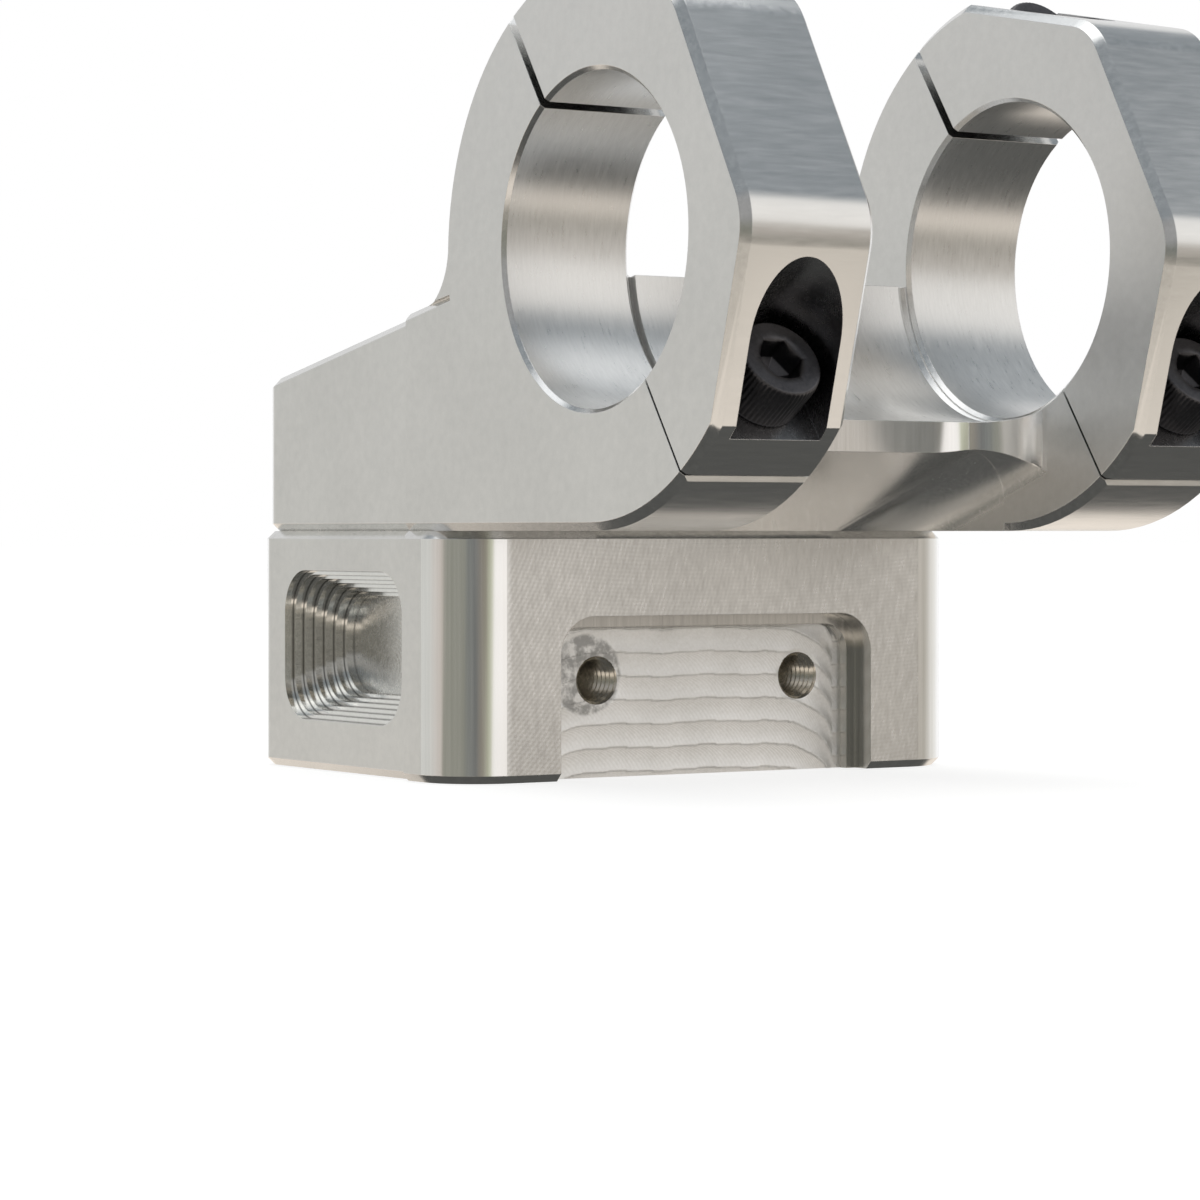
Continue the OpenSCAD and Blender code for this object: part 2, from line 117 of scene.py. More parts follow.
def ramp(tree, fac, stops, interpolation="EASE"):
    """A colour ramp through (place, colour) stops; a colour is a grey or an RGB."""
    made = node(tree, "ShaderNodeValToRGB")
    made.color_ramp.interpolation = interpolation
    points = made.color_ramp.elements
    while len(points) < len(stops):
        points.new(0.5)
    for point, (place, colour) in zip(points, stops):
        point.position = place
        rgb = (colour,) * 3 if isinstance(colour, float) else colour
        point.color = (*rgb, 1.0)
    tree.links.new(fac, made.inputs["Fac"])
    return made.outputs["Color"]


def mix_colour(tree, fac, first, second, blend="MIX"):
    """Mixes two colours, each a socket or an RGB; fac is a socket or a number."""
    made = node(tree, "ShaderNodeMix", data_type="RGBA", blend_type=blend)
    for socket, value in ((made.inputs[0], fac), (made.inputs[6], first), (made.inputs[7], second)):
        if isinstance(value, bpy.types.NodeSocket):
            tree.links.new(value, socket)
        elif isinstance(value, (int, float)):
            socket.default_value = value
        else:
            socket.default_value = (*value, 1.0)
    return made.outputs[2]


print("node helpers ready")

# %% [markdown]
# Bare metal shows what stands round it. A photographer's white sweep gives pale
# flats, and the darker side of the room, behind the camera, gives the grey bands on
# every rounded corner. The world is one smooth function of direction, so all pieces
# agree on where the light and the dark are. The camera itself sees plain white.

# %% World
def round_ramp(tree, turn, stops):
    """A ramp round the horizon; a stop is its degrees from -X round by -Y, and a colour."""
    return ramp(tree, turn, [(degrees / 360 + 0.5, colour) for degrees, colour in stops])


world = bpy.data.worlds.new("studio")
bpy.context.scene.world = world
world.use_nodes = True
tree = world.node_tree
tree.nodes.clear()
direction = node(tree, "ShaderNodeTexCoord").outputs["Generated"]
parts = node(tree, "ShaderNodeSeparateXYZ")
tree.links.new(direction, parts.inputs[0])
minus_x = math_node(tree, "MULTIPLY", parts.outputs["X"], -1.0)
minus_y = math_node(tree, "MULTIPLY", parts.outputs["Y"], -1.0)
angle = math_node(tree, "ARCTAN2", minus_y, minus_x)
turn = math_node(tree, "MULTIPLY_ADD", angle, 1 / math.tau)
turn.node.inputs[2].default_value = 0.5

level_band = round_ramp(tree, turn, [
    (-180, (0.80, 0.78, 0.74)), (-150, 1.0), (-95, 1.0), (-74, (0.63, 0.63, 0.60)),
    (-30, (0.62, 0.62, 0.59)), (-12, (0.62, 0.58, 0.54)), (-2, (0.58, 0.52, 0.47)),
    (1, (0.27, 0.27, 0.23)), (38, (0.26, 0.26, 0.22)), (44, (0.17, 0.18, 0.17)),
    (58, (0.16, 0.165, 0.16)), (64, (0.22, 0.20, 0.17)), (74, (0.27, 0.25, 0.20)),
    (78, (0.42, 0.43, 0.32)), (84, (0.55, 0.56, 0.42)), (87, (1.0, 0.97, 0.94)),
    (110, (0.98, 0.94, 0.90)), (115, (0.90, 0.86, 0.81)), (119, (0.50, 0.46, 0.42)),
    (128, (0.50, 0.46, 0.41)), (152, (0.45, 0.42, 0.37)), (180, (0.80, 0.78, 0.74))])
upper_band = round_ramp(tree, turn, [
    (-180, 0.9), (-60, 0.75), (0, 0.35), (60, 0.4), (110, (1.0, 0.97, 0.93)), (180, 0.95)])
height = parts.outputs["Z"]
depth_below = math_node(tree, "MULTIPLY", height, -1.0)
BACK_RISE = 0.12
sloping_depth = math_node(tree, "ADD", depth_below,
    math_node(tree, "MULTIPLY", parts.outputs["Y"], BACK_RISE))
round_light = mix_colour(tree, ramp(tree, height, [(0.04, 0.0), (0.2, 1.0)]), level_band, upper_band)
# A layer is the measure that it follows, where it begins and is full, and its colour:
# the grey room high up, the lamp overhead, a dim band just below the horizon, the pale
# ground, which starts higher behind than in front, and the object's own shade.
LAYERS = [
    (height, 0.56, 0.68, (0.27, 0.30, 0.325)),
    (height, 0.84, 0.94, (1.0, 0.99, 0.97)),
    (depth_below, 0.11, 0.16, (0.34, 0.32, 0.28)),
    (sloping_depth, 0.215, 0.275, (1.0, 0.91, 0.81)),
    (depth_below, 0.48, 0.56, (0.10, 0.10, 0.095))]
for measure, begins, full, colour in LAYERS:
    layer = ramp(tree, measure, [(begins, 0.0), (full, 1.0)])
    round_light = mix_colour(tree, layer, round_light, colour)
path = node(tree, "ShaderNodeLightPath")
seen = node(tree, "ShaderNodeBackground", Color=(1, 1, 1, 1), Strength=1.0)
lit = node(tree, "ShaderNodeBackground", Strength=1.0)
tree.links.new(round_light, lit.inputs["Color"])
chosen = node(tree, "ShaderNodeMixShader")
tree.links.new(path.outputs["Is Camera Ray"], chosen.inputs[0])
tree.links.new(lit.outputs[0], chosen.inputs[1])
tree.links.new(seen.outputs[0], chosen.inputs[2])
out = node(tree, "ShaderNodeOutputWorld")
tree.links.new(chosen.outputs[0], out.inputs["Surface"])
print("world ready")

# %% [markdown]
# The floor is a wide pale sheet. Part of its shading is a steady white, so that it
# melts into the white background, and the rest takes the object's soft shadow. The
# metal's reflections come from the world alone, whose lower half is pale like the
# floor and grows dark straight below, where the object shades it.

# %% Floor and lamp
def mesh_object(name, vertices, faces):
    """A new mesh object from arrays of points and of faces."""
    mesh = bpy.data.meshes.new(name)
    mesh.from_pydata(np.asarray(vertices, float).tolist(), [], np.asarray(faces).tolist())
    mesh.update()
    made = bpy.data.objects.new(name, mesh)
    bpy.context.scene.collection.objects.link(made)
    return made


FLOOR_HALF = 6.0
FLOOR_DROP = 0.00002
FLOOR_COLOUR = (0.86, 0.86, 0.85, 1)
GLOW_STRENGTH, GLOW_SHARE = 1.40, 0.56
floor = mesh_object("floor",
    [(-FLOOR_HALF, -FLOOR_HALF, -FLOOR_DROP), (FLOOR_HALF, -FLOOR_HALF, -FLOOR_DROP),
     (FLOOR_HALF, FLOOR_HALF, -FLOOR_DROP), (-FLOOR_HALF, FLOOR_HALF, -FLOOR_DROP)],
    [(0, 1, 2, 3)])
floor.visible_glossy = False
floor_finish = bpy.data.materials.new("pale_floor")
floor_finish.use_nodes = True
tree = floor_finish.node_tree
tree.nodes.clear()
matt = node(tree, "ShaderNodeBsdfDiffuse", Color=FLOOR_COLOUR)
glow = node(tree, "ShaderNodeEmission", Color=(1, 1, 1, 1), Strength=GLOW_STRENGTH)
both = node(tree, "ShaderNodeMixShader", Fac=GLOW_SHARE)
tree.links.new(matt.outputs[0], both.inputs[1])
tree.links.new(glow.outputs[0], both.inputs[2])
out = node(tree, "ShaderNodeOutputMaterial")
tree.links.new(both.outputs[0], out.inputs["Surface"])
floor.data.materials.append(floor_finish)


def soft_lamp(name, place, aim, size, watts):
    """A square area lamp at a place, turned to face a point."""
    data = bpy.data.lights.new(name, "AREA")
    data.size = size
    data.energy = watts
    lamp = bpy.data.objects.new(name, data)
    toward = np.subtract(aim, place)
    toward = toward / np.linalg.norm(toward)
    lamp.location = place
    lamp.rotation_euler = (math.acos(-toward[2]), 0, math.atan2(toward[1], toward[0]) - math.pi / 2)
    bpy.context.scene.collection.objects.link(lamp)


soft_lamp("overhead", (0.0, 0.1, 1.0), (0, 0, 0.04), 1.2, 4.0)
bpy.context.scene.view_settings.view_transform = "Standard"
print("floor and lamp ready")

# %% [markdown]
# Every surface here starts as a table of points worked out at once with numpy: rows
# along a profile and columns across or round it. One helper turns such a table into
# a mesh. The machined pieces are too rich to draw again, so each takes a copy of its
# CAD mesh as a skin. The copy's loose triangles are merged, its sharp edges are marked
# by angle, and a weighted normal keeps the flats flat beside their small rounds.

# %% Mesh helpers
SHARP = math.radians(22)
GRID_WELD, SKIN_WELD = 0.0005, 0.002


def grid_object(name, points, wrap=False, outward=None):
    """A mesh from a (rows, columns, 3) table of points in millimetres.

    Each face joins four neighbours of the table; wrap also joins the last column to
    the first. outward gives, for face centres, the directions they should look in,
    and the whole table is turned over where most faces look the other way. Points
    that fall together, as at a pole, are merged.
    """
    rows, columns = points.shape[:2]
    row, column = np.meshgrid(np.arange(rows - 1), np.arange(columns if wrap else columns - 1),
        indexing="ij")
    beside = (column + 1) % columns
    quads = np.stack([row * columns + column, row * columns + beside,
        (row + 1) * columns + beside, (row + 1) * columns + column], -1).reshape(-1, 4)
    flat = points.reshape(-1, 3)
    if outward is not None:
        corners = flat[quads]
        normals = np.cross(corners[:, 2] - corners[:, 0], corners[:, 3] - corners[:, 1])
        centres = corners.mean(1)
        if (normals * outward(centres)).sum() < 0:
            quads = quads[:, ::-1]
    made = mesh_object(name, flat * MM, quads)
    work = bmesh.new()
    work.from_mesh(made.data)
    bmesh.ops.remove_doubles(work, verts=work.verts, dist=GRID_WELD * MM)
    for face in work.faces:
        face.smooth = True
    work.to_mesh(made.data)
    work.free()
    return made


def face_facts(mesh):
    """Centres (millimetres) and normals of all faces, as two arrays."""
    count = len(mesh.polygons)
    centres, normals = np.empty(count * 3), np.empty(count * 3)
    mesh.polygons.foreach_get("center", centres)
    mesh.polygons.foreach_get("normal", normals)
    return centres.reshape(-1, 3) / MM, normals.reshape(-1, 3)


def skin(node_name, name, drop=None):
    """A merged copy of a CAD node's mesh that stands for it.

    drop takes the face centres and normals, and says which faces go because a
    more detailed piece has their place.
    """
    mesh = frame["nodes"][node_name].data.copy()
    mesh.name = name
    if "custom_normal" in mesh.attributes:
        mesh.attributes.remove(mesh.attributes["custom_normal"])
    gone = drop(*face_facts(mesh)) if drop else np.zeros(len(mesh.polygons), bool)
    work = bmesh.new()
    work.from_mesh(mesh)
    work.faces.ensure_lookup_table()
    bmesh.ops.delete(work, geom=[work.faces[i] for i in np.flatnonzero(gone)], context="FACES")
    bmesh.ops.remove_doubles(work, verts=work.verts, dist=SKIN_WELD * MM)
    for edge in work.edges:
        edge.smooth = len(edge.link_faces) == 2 and edge.calc_face_angle(0) < SHARP
    for face in work.faces:
        face.smooth = True
    work.to_mesh(mesh)
    work.free()
    made = bpy.data.objects.new(name, mesh)
    bpy.context.scene.collection.objects.link(made)
    flats = made.modifiers.new("flat_faces_stay_flat", "WEIGHTED_NORMAL")
    flats.keep_sharp = True
    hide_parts(node_name)
    finish_piece(made)
    print(name, len(mesh.polygons), "faces,", int(gone.sum()), "left to finer pieces")
    return made


def finish_piece(piece):
    """A piece rides on the one body."""
    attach(piece, "root")


def paint(piece, finishes):
    """Gives each face the first finish in the list whose test holds for it.

    Each entry is a material and a test on the face centres and normals; the last
    entry's test is None and takes what is left.
    """
    mesh = piece.data
    centres, normals = face_facts(mesh)
    chosen = np.full(len(mesh.polygons), -1, np.int32)
    mesh.materials.clear()
    for index, (finish, test) in enumerate(finishes):
        mesh.materials.append(finish)
        wanted = np.ones(len(chosen), bool) if test is None else test(centres, normals)
        chosen[wanted & (chosen < 0)] = index
    mesh.polygons.foreach_set("material_index", chosen)
    print(piece.name, {finish.name: int((chosen == i).sum()) for i, (finish, _) in enumerate(finishes)})


print("helpers ready")

# %% [markdown]
# Milled aluminium is never one even grey. A cutter leaves a fine grain along its
# path, wide arcs where it faces a flat, and upright lines where its side runs round
# a corner. One function makes every such finish. The colour, the roughness and a
# few microns of height all follow the same grain, so the marks hold together under
# any light. A Bevel node rounds each edge by a tenth of a millimetre, as a broken
# edge is, so that it catches a thin light.

# %% Milled aluminium
FINE_SHARE, ROUGH_SWING = 0.6, 0.16
# Stops that turn ambient occlusion into painted shade in inner corners.
PAINTED_SHADE_STOPS = [(0.45, 0.22), (0.92, 1.0)]


def milled(name, grey=0.78, rough=0.3, grain=(900, 900, 900), depth=0.0012, spread=0.05,
        tint=(1.0, 0.998, 0.985), arcs=(), blotch=70.0, bevel=0.1, crease=0.0):
    """A machined aluminium finish.

    grain is the number of noise cells per metre along X, Y and Z, depth the height
    of the grain in millimetres, and spread how far its grey moves. Each arc is a
    centre in millimetres, a pitch and a height: its ridges are the sine of the
    distance from the centre over the pitch. crease, in millimetres, is how near an
    inner corner has to be to get painted shade: ambient occlusion darkens the colour
    there, standing in for the shade that falls in such corners.
    """
    made = bpy.data.materials.new(name)
    made.use_nodes = True
    tree = made.node_tree
    tree.nodes.clear()
    link = tree.links.new
    place = node(tree, "ShaderNodeTexCoord").outputs["Object"]
    mapping = node(tree, "ShaderNodeMapping")
    mapping.inputs["Scale"].default_value = grain
    link(place, mapping.inputs["Vector"])
    fine = node(tree, "ShaderNodeTexNoise", Scale=1.0, Detail=3.0, Roughness=0.65)
    link(mapping.outputs[0], fine.inputs["Vector"])
    broad = node(tree, "ShaderNodeTexNoise", Scale=blotch, Detail=2.0, Roughness=0.5)
    link(place, broad.inputs["Vector"])
    fine, broad = fine.outputs["Fac"], broad.outputs["Fac"]
    mixed = math_node(tree, "ADD", math_node(tree, "MULTIPLY", fine, FINE_SHARE),
        math_node(tree, "MULTIPLY", broad, 1 - FINE_SHARE))
    dark = [grey * part * (1 - 2 * spread) for part in tint]
    pale = [min(1.0, grey * part * (1 + 2 * spread)) for part in tint]
    colour = ramp(tree, mixed, [(0.3, dark), (0.7, pale)], "LINEAR")
    # Painted shade: ambient occlusion darkens the colour in inner corners, where shade falls.
    if crease:
        corner_occlusion = node(tree, "ShaderNodeAmbientOcclusion", samples=8, Distance=crease * MM)
        painted_corner_shade = ramp(tree, corner_occlusion.outputs["AO"], PAINTED_SHADE_STOPS, "LINEAR")
        colour = mix_colour(tree, 1.0, colour, painted_corner_shade, "MULTIPLY")
    worn = math_node(tree, "MULTIPLY_ADD", fine, ROUGH_SWING)
    worn.node.inputs[2].default_value = rough - ROUGH_SWING / 2
    height = math_node(tree, "MULTIPLY", fine, depth)
    for centre, pitch, ridge in arcs:
        away = node(tree, "ShaderNodeVectorMath", operation="DISTANCE")
        link(place, away.inputs[0])
        away.inputs[1].default_value = [c * MM for c in centre]
        wave = math_node(tree, "SINE", math_node(tree, "MULTIPLY", away.outputs["Value"],
            math.tau / (pitch * MM)))
        patchy = math_node(tree, "MULTIPLY", wave, math_node(tree, "MULTIPLY", fine, ridge))
        height = math_node(tree, "ADD", height, patchy)
    edge = node(tree, "ShaderNodeBevel", samples=4, Radius=bevel * MM)
    relief = node(tree, "ShaderNodeBump", Strength=1.0, Distance=MM)
    link(height, relief.inputs["Height"])
    link(edge.outputs[0], relief.inputs["Normal"])
    metal = node(tree, "ShaderNodeBsdfPrincipled", Metallic=1.0)
    link(colour, metal.inputs["Base Color"])
    link(worn, metal.inputs["Roughness"])
    link(relief.outputs[0], metal.inputs["Normal"])
    out = node(tree, "ShaderNodeOutputMaterial")
    link(metal.outputs[0], out.inputs["Surface"])
    return made


even_side = milled("even_side_faces", rough=0.34, depth=0.0010, spread=0.03)
upright_lines = milled("upright_cutter_lines", grey=0.96, rough=0.17, grain=(2600, 2600, 30), depth=0.0020,
    spread=0.05)
faced_front = milled("faced_front", rough=0.25, grain=(1500, 1500, 480), depth=0.0020, spread=0.07,
    arcs=[((-60, -22, 40), 0.5, 0.0030), ((0, -22, 300), 0.42, 0.0024)])
broken_edge = milled("broken_edges", rough=0.2, grain=(1400, 1400, 1400), depth=0.0012)
brushed_flat = milled("brushed_cap_flats", rough=0.22, grain=(220, 1900, 1900), depth=0.0009, spread=0.03,
    arcs=[((-24, -120, 40), 0.7, 0.0008)])
turned_bore = milled("turned_bore", rough=0.3, grain=(3000, 500, 500), depth=0.0020, spread=0.05)
under_web = milled("swept_underside", grey=0.8, rough=0.24, grain=(2600, 2600, 2600), depth=0.0007,
    arcs=[((-30, -20, 25), 0.6, 0.0007), ((40, -30, 20), 0.55, 0.0007)])
platform_top = milled("faced_platform_top", rough=0.27, grain=(1500, 300, 1500), depth=0.0014,
    arcs=[((0, -60, 60), 0.9, 0.0012)])
# Painted shade: the screw pockets get a dark base grey for the shade and dark reflections deep in them.
pocket_painted_shade = milled("screw_pocket_painted_shade", grey=0.42, rough=0.26, grain=(1600, 1600, 500), depth=0.0024,
    spread=0.1, tint=(0.98, 0.98, 1.0))
# Both terrace finishes get painted shade in their inner corners through crease.
terrace_wall = milled("terrace_walls", grey=0.80, rough=0.15, grain=(500, 2600, 2600), depth=0.0004,
    spread=0.07, tint=(1.0, 0.985, 0.93), bevel=0.05, crease=0.22)
terrace_step = milled("terrace_steps", grey=1.0, rough=0.13, grain=(1500, 1500, 1500), depth=0.0004,
    bevel=0.05, crease=0.22)
swirled_floor = milled("swirled_pocket_floor", rough=0.26, grain=(1500, 1500, 1500), depth=0.002,
    spread=0.09, arcs=[((-25, 4.5, 11), 0.45, 0.0035), ((25, 4.5, 11), 0.45, 0.0035)])
pocket_wall = milled("front_pocket_walls", grey=0.6, rough=0.2, grain=(2400, 2400, 40), depth=0.0022,
    spread=0.08, tint=(1.0, 0.985, 0.94))
print("aluminium finishes ready")

# %% [markdown]
# The clamp body is one solid from the rear edge of the platform to the half rings
# of the two clamps. Its sides were milled flat, the rings were bored, the web
# between them was run round with the side of a cutter, and the slope on top was
# faced. Each of these takes its own finish, chosen by where a face lies and which
# way it looks.

# %% Clamp body
SPLIT = math.radians(34)
split_normal = np.array([0.0, -math.cos(SPLIT), math.sin(SPLIT)])
split_along = np.array([0.0, math.sin(SPLIT), math.cos(SPLIT)])
bore_centre = np.array([0.0, bore_y, bore_z]) / MM
BORE_R = clamp_mount["dims"]["r_mm"]
CLAMP_X = abs(bore_axis[0]) / MM
INNER_X, BODY_FOOT = 17.4, 25.5
BODY_SCREW_X, BODY_SCREW_Y, SCREW_POCKET_R = 19.0, 13.0, 6.05


def from_bore_axis(centres):
    """Distance of points from the bores' common axis."""
    return np.hypot(centres[:, 1] - bore_centre[1], centres[:, 2] - bore_centre[2])


def in_bore(centres, normals):
    """Faces of the clamps' bores, and of the slightly wider saddle between them."""
    return (from_bore_axis(centres) < BORE_R + 0.7) & (np.abs(normals[:, 0]) < 0.3)


def looks_sideways(centres, normals):
    return np.abs(normals[:, 0]) > 0.98


def on_split(centres, normals):
    return np.abs(normals @ split_normal) > 0.999


def on_web(centres, normals):
    """The upright wall of the web and the two fillets beside it."""
    return ((np.abs(centres[:, 0]) < INNER_X + 0.01) & (np.abs(normals[:, 2]) < 0.01)
        & (np.abs(normals[:, 0]) < 0.985) & (normals[:, 1] < 0.2) & (centres[:, 1] < bore_centre[1] + 2))


def under_the_web(centres, normals):
    above_foot = centres[:, 2] > BODY_FOOT - 0.05
    return (np.abs(centres[:, 0]) < INNER_X + 0.01) & (normals[:, 2] < -0.02) & above_foot


def in_screw_pocket(centres, normals):
    """The four pockets of the body screws: round walls and seats."""
    near = np.hypot(np.abs(centres[:, 0]) - BODY_SCREW_X, np.abs(centres[:, 1]) - BODY_SCREW_Y)
    return (near < SCREW_POCKET_R) & (centres[:, 2] > BODY_FOOT)


def looks_up(centres, normals):
    return normals[:, 2] > 0.9


def is_round_or_flat(centres, normals):
    """Outer faces that run straight across in X: rounds and flats, not chamfers."""
    return np.abs(normals[:, 0]) < 0.02


body = skin("clamp_body", "clamp_body_milled")
paint(body, [(turned_bore, in_bore), (pocket_painted_shade, in_screw_pocket), (upright_lines, on_web),
    (under_web, under_the_web), (even_side, looks_sideways), (platform_top, looks_up),
    (broken_edge, on_split), (brushed_flat, is_round_or_flat), (broken_edge, None)])

# %% [markdown]
# The web runs into each clamp in a hollow corner: an upright fillet beside its wall,
# and a smaller one along the sloping channel below. In the solid these corners end at
# the plane through the bores' axis. On the real part they go on and die out on the
# clamps' inner faces, so two lofts carry them on. A loft takes one closed ring of
# points at each depth; its front follows the upright hollow down to where the lower
# one leaves less metal, and its back is buried a little in the clamp.

# %% Corners beside the web
WALL_R, UNDER_R = 8.5, 5.0
WEB_BACK, WEB_FOOT, SADDLE_R = 1.0, BORE_R + 3.6, BORE_R + 0.5
UNDER_SLOPE = math.radians(19.4)
LAP, BURIED = 0.03, 0.06


def corner_rings(side, rows=48):
    """Rings of one corner as a (rows, points, 3) table, closed by a point at each end.

    At angle a the upright hollow stands R (1 - cos a) proud of the inner face and
    R sin a behind its end. The lower hollow does the same with its own radius and
    angle b, measured square to the slope, and the two meet where both stand as proud.
    """
    a = np.linspace(math.asin((WALL_R - WEB_BACK + LAP) / WALL_R), 0, rows)[:, None]
    depth = WALL_R * np.sin(a) - (WALL_R - WEB_BACK)
    proud = WALL_R * (1 - np.cos(a))
    meet = np.arccos(np.clip(1 - proud / UNDER_R, -1, 1))

    def height(b):
        """Height below the bores' axis of the lower hollow's point at angle b."""
        square = UNDER_R * (np.sin(b) - 1)
        return (square - (depth - WEB_BACK) * math.sin(UNDER_SLOPE)) / math.cos(UNDER_SLOPE) - WEB_FOOT

    top, share = -np.sqrt(SADDLE_R ** 2 - depth ** 2), np.linspace(0, 1, 24)[None, :]
    wall_z = top + (height(meet) - top) * share
    b = meet * (1 - share[:, 1:])
    back_z = height(0 * a) + (top - height(0 * a)) * np.linspace(0, 1, 9)[None, :]
    across = np.hstack([proud + 0 * wall_z, UNDER_R * (1 - np.cos(b)), 0 * back_z - BURIED])
    ring = np.stack([side * (INNER_X + LAP - across), bore_centre[1] + depth + 0 * across,
        bore_centre[2] + np.hstack([wall_z, height(b), back_z])], -1)
    hidden = np.stack([side * (INNER_X + LAP + BURIED) + 0 * depth, bore_centre[1] + depth,
        bore_centre[2] + height(math.pi / 2 + 0 * depth)], -1) + 0 * ring
    return np.concatenate([hidden[:1], ring, hidden[-1:]])


for word, side in (("left", -1), ("right", 1)):
    corner_piece = grid_object(f"{word}_web_corner", corner_rings(side), wrap=True,
        outward=lambda centres: centres - centres.mean(0))
    corner_piece.data.set_sharp_from_angle(angle=SHARP)
    finish_piece(corner_piece)
    paint(corner_piece, [(upright_lines, on_web), (under_web, under_the_web), (even_side, None)])

# %% [markdown]
# Each cap is a half ring whose outside was cut to three flats. Two screws reach the
# split through round-bottomed pockets that run out through the flats. The flats
# were brushed across by the side of a large cutter. The pockets have painted shade:
# a dark base colour, as they see little but themselves and the black screws.

# %% Clamp caps
HEAD_POCKET_R, SEAT_HEIGHT, POCKET_REACH, POCKET_INNER = 5.02, 5.85, 27.0, 10


def in_head_pocket(centres, normals):
    """Pocket walls stand along the screw's axis; seats face outwards along it."""
    away = (centres - bore_centre) @ split_normal
    outward = np.abs((centres - bore_centre) @ split_along)
    side = np.abs(np.abs(centres[:, 0]) - CLAMP_X)
    wall = (np.abs(normals @ split_normal) < 0.02) & (side < HEAD_POCKET_R) & (away > 5.4)
    seat = (normals @ split_normal > 0.99) & (np.abs(away - SEAT_HEIGHT) < 0.4)
    return wall & (outward > POCKET_INNER) & (from_bore_axis(centres) < POCKET_REACH) | seat


for side_name in ("left", "right"):
    cap = skin(side_name + "_clamp_cap", side_name + "_clamp_cap_milled")
    paint(cap, [(turned_bore, in_bore), (pocket_painted_shade, in_head_pocket), (even_side, looks_sideways),
        (broken_edge, on_split), (brushed_flat, is_round_or_flat), (broken_edge, None)])

# %% [markdown]
# The spacer block shows the most cutting: a flat front, corners run round with the
# side of a cutter, a terraced pocket in each side and a shallow pocket in front.
# The pocket's floor and the walls of the tapped holes are left out of the skin here,
# because the next cells draw them with their real relief.

# %% Spacer block
HOLE_X, HOLE_Z, HOLE_R, HOLE_D, RIM_R = 12.7, 10.0, 2.1, 8.0, 2.5
FLOOR_Y = mounts["accessory_holes"]["pos_m"][1] / MM
BASE_R, BASE_D, TOUCH = 2.5, 10.0, 0.001
BASE_RIM_R = BASE_R + 0.4
SIDE_FLOOR_X, SIDE_POCKET_X = 24.0, 31.045


def between(values, low, high):
    return (values > low) & (values < high)


def in_accessory_hole(centres, normals):
    near = np.hypot(np.abs(centres[:, 0]) - HOLE_X, centres[:, 2] - HOLE_Z)
    return (near < RIM_R + 0.01) & between(centres[:, 1], FLOOR_Y + TOUCH, FLOOR_Y + HOLE_D + 0.1)


def on_pocket_floor(centres, normals):
    return (np.abs(centres[:, 1] - FLOOR_Y) < TOUCH) & (np.abs(centres[:, 0]) < 19.5) & (centres[:, 2] < 16.7)


def in_base_hole(centres, normals):
    near = np.hypot(np.abs(centres[:, 0]) - BODY_SCREW_X, np.abs(centres[:, 1]) - BODY_SCREW_Y)
    return (near < BASE_RIM_R + 0.01) & between(centres[:, 2], TOUCH, BASE_D - TOUCH)


def drawn_finer(centres, normals):
    return (in_accessory_hole(centres, normals) | on_pocket_floor(centres, normals)
        | in_base_hole(centres, normals))


def in_front_pocket(centres, normals):
    return ((np.abs(centres[:, 0]) < 19.55) & between(centres[:, 1], -21.999, FLOOR_Y + 0.01)
        & between(centres[:, 2], TOUCH, 16.75))


def in_side_pocket(centres, normals):
    return (between(np.abs(centres[:, 0]), SIDE_FLOOR_X, SIDE_POCKET_X)
        & between(centres[:, 1], -9.8, 15.8) & between(centres[:, 2], 5.2, 21.3))


def in_side_floor(centres, normals):
    return in_side_pocket(centres, normals) & (np.abs(centres[:, 0]) < SIDE_FLOOR_X + 0.1)


def in_side_wall(centres, normals):
    return in_side_pocket(centres, normals) & (np.abs(normals[:, 0]) < 0.5)


def on_corner(centres, normals):
    """Upright rounds and the step: normals that are level and along neither axis."""
    return (np.abs(normals[:, 2]) < 0.02) & (np.abs(normals[:, 0]) < 0.995) & (np.abs(normals[:, 1]) < 0.995)


def looks_forward(centres, normals):
    return np.abs(normals[:, 1]) > 0.99


def looks_up_or_down(centres, normals):
    return np.abs(normals[:, 2]) > 0.99


block = skin("riser_block", "spacer_block_milled", drop=drawn_finer)
paint(block, [(swirled_floor, in_side_floor), (terrace_wall, in_side_wall), (terrace_step, in_side_pocket),
    (pocket_wall, in_front_pocket), (upright_lines, on_corner), (faced_front, looks_forward),
    (even_side, looks_sideways), (platform_top, looks_up_or_down), (broken_edge, None)])

# %% [markdown]
# The floor of the front pocket was cut in level passes from the top down. Each pass
# leaves a shallow trough whose upper edge is flat in the middle and bends down at
# both ends, where the round cutter stopped. The next pass takes the lower part away,
# so the floor looks like shingles. The left hole lies in a round mark where the
# cutter first plunged. All of it is true relief here, up to 0.16 mm high.

# %% Pocket floor
PASS_PITCH, CUTTER_R, TOP_PASS = 2.45, 3.9, 15.2
FLOOR_HALF_W, FLOOR_TOP, CORNER_R = 18.3, 15.5, 2.8
PLUNGE_X, PLUNGE_Z, PLUNGE_R = -14.0, 10.6, 4.3
LEFT_END, RIGHT_END, RIGHT_SPAN, RIGHT_SAG = -14.9, 7.6, 9.6, 4.6
RIDGE_HEIGHT = 0.16


def pass_place(x, z):
    """Which pass made a point, as a number that grows downwards by one per pass.

    The upper edge of a pass is level for |x| below its end and then drops along a
    circle of the cutter's radius; the number is the depth below the first pass's
    edge over the pitch. The right ends reach less far, and sag in a wider round.
    """
    left = np.clip((LEFT_END - x) / CUTTER_R, 0, 1)
    right = np.clip((x - RIGHT_END) / RIGHT_SPAN, 0, 1)
    drop = (CUTTER_R * (1 - np.sqrt(1 - 0.98 * left ** 2))
        + RIGHT_SAG * (1 - np.sqrt(1 - 0.98 * right ** 2)))
    wander = 0.10 * np.sin(x * 0.55 + 1.0) + 0.05 * np.sin(x * 1.7)
    return (TOP_PASS - z - drop + wander) / PASS_PITCH


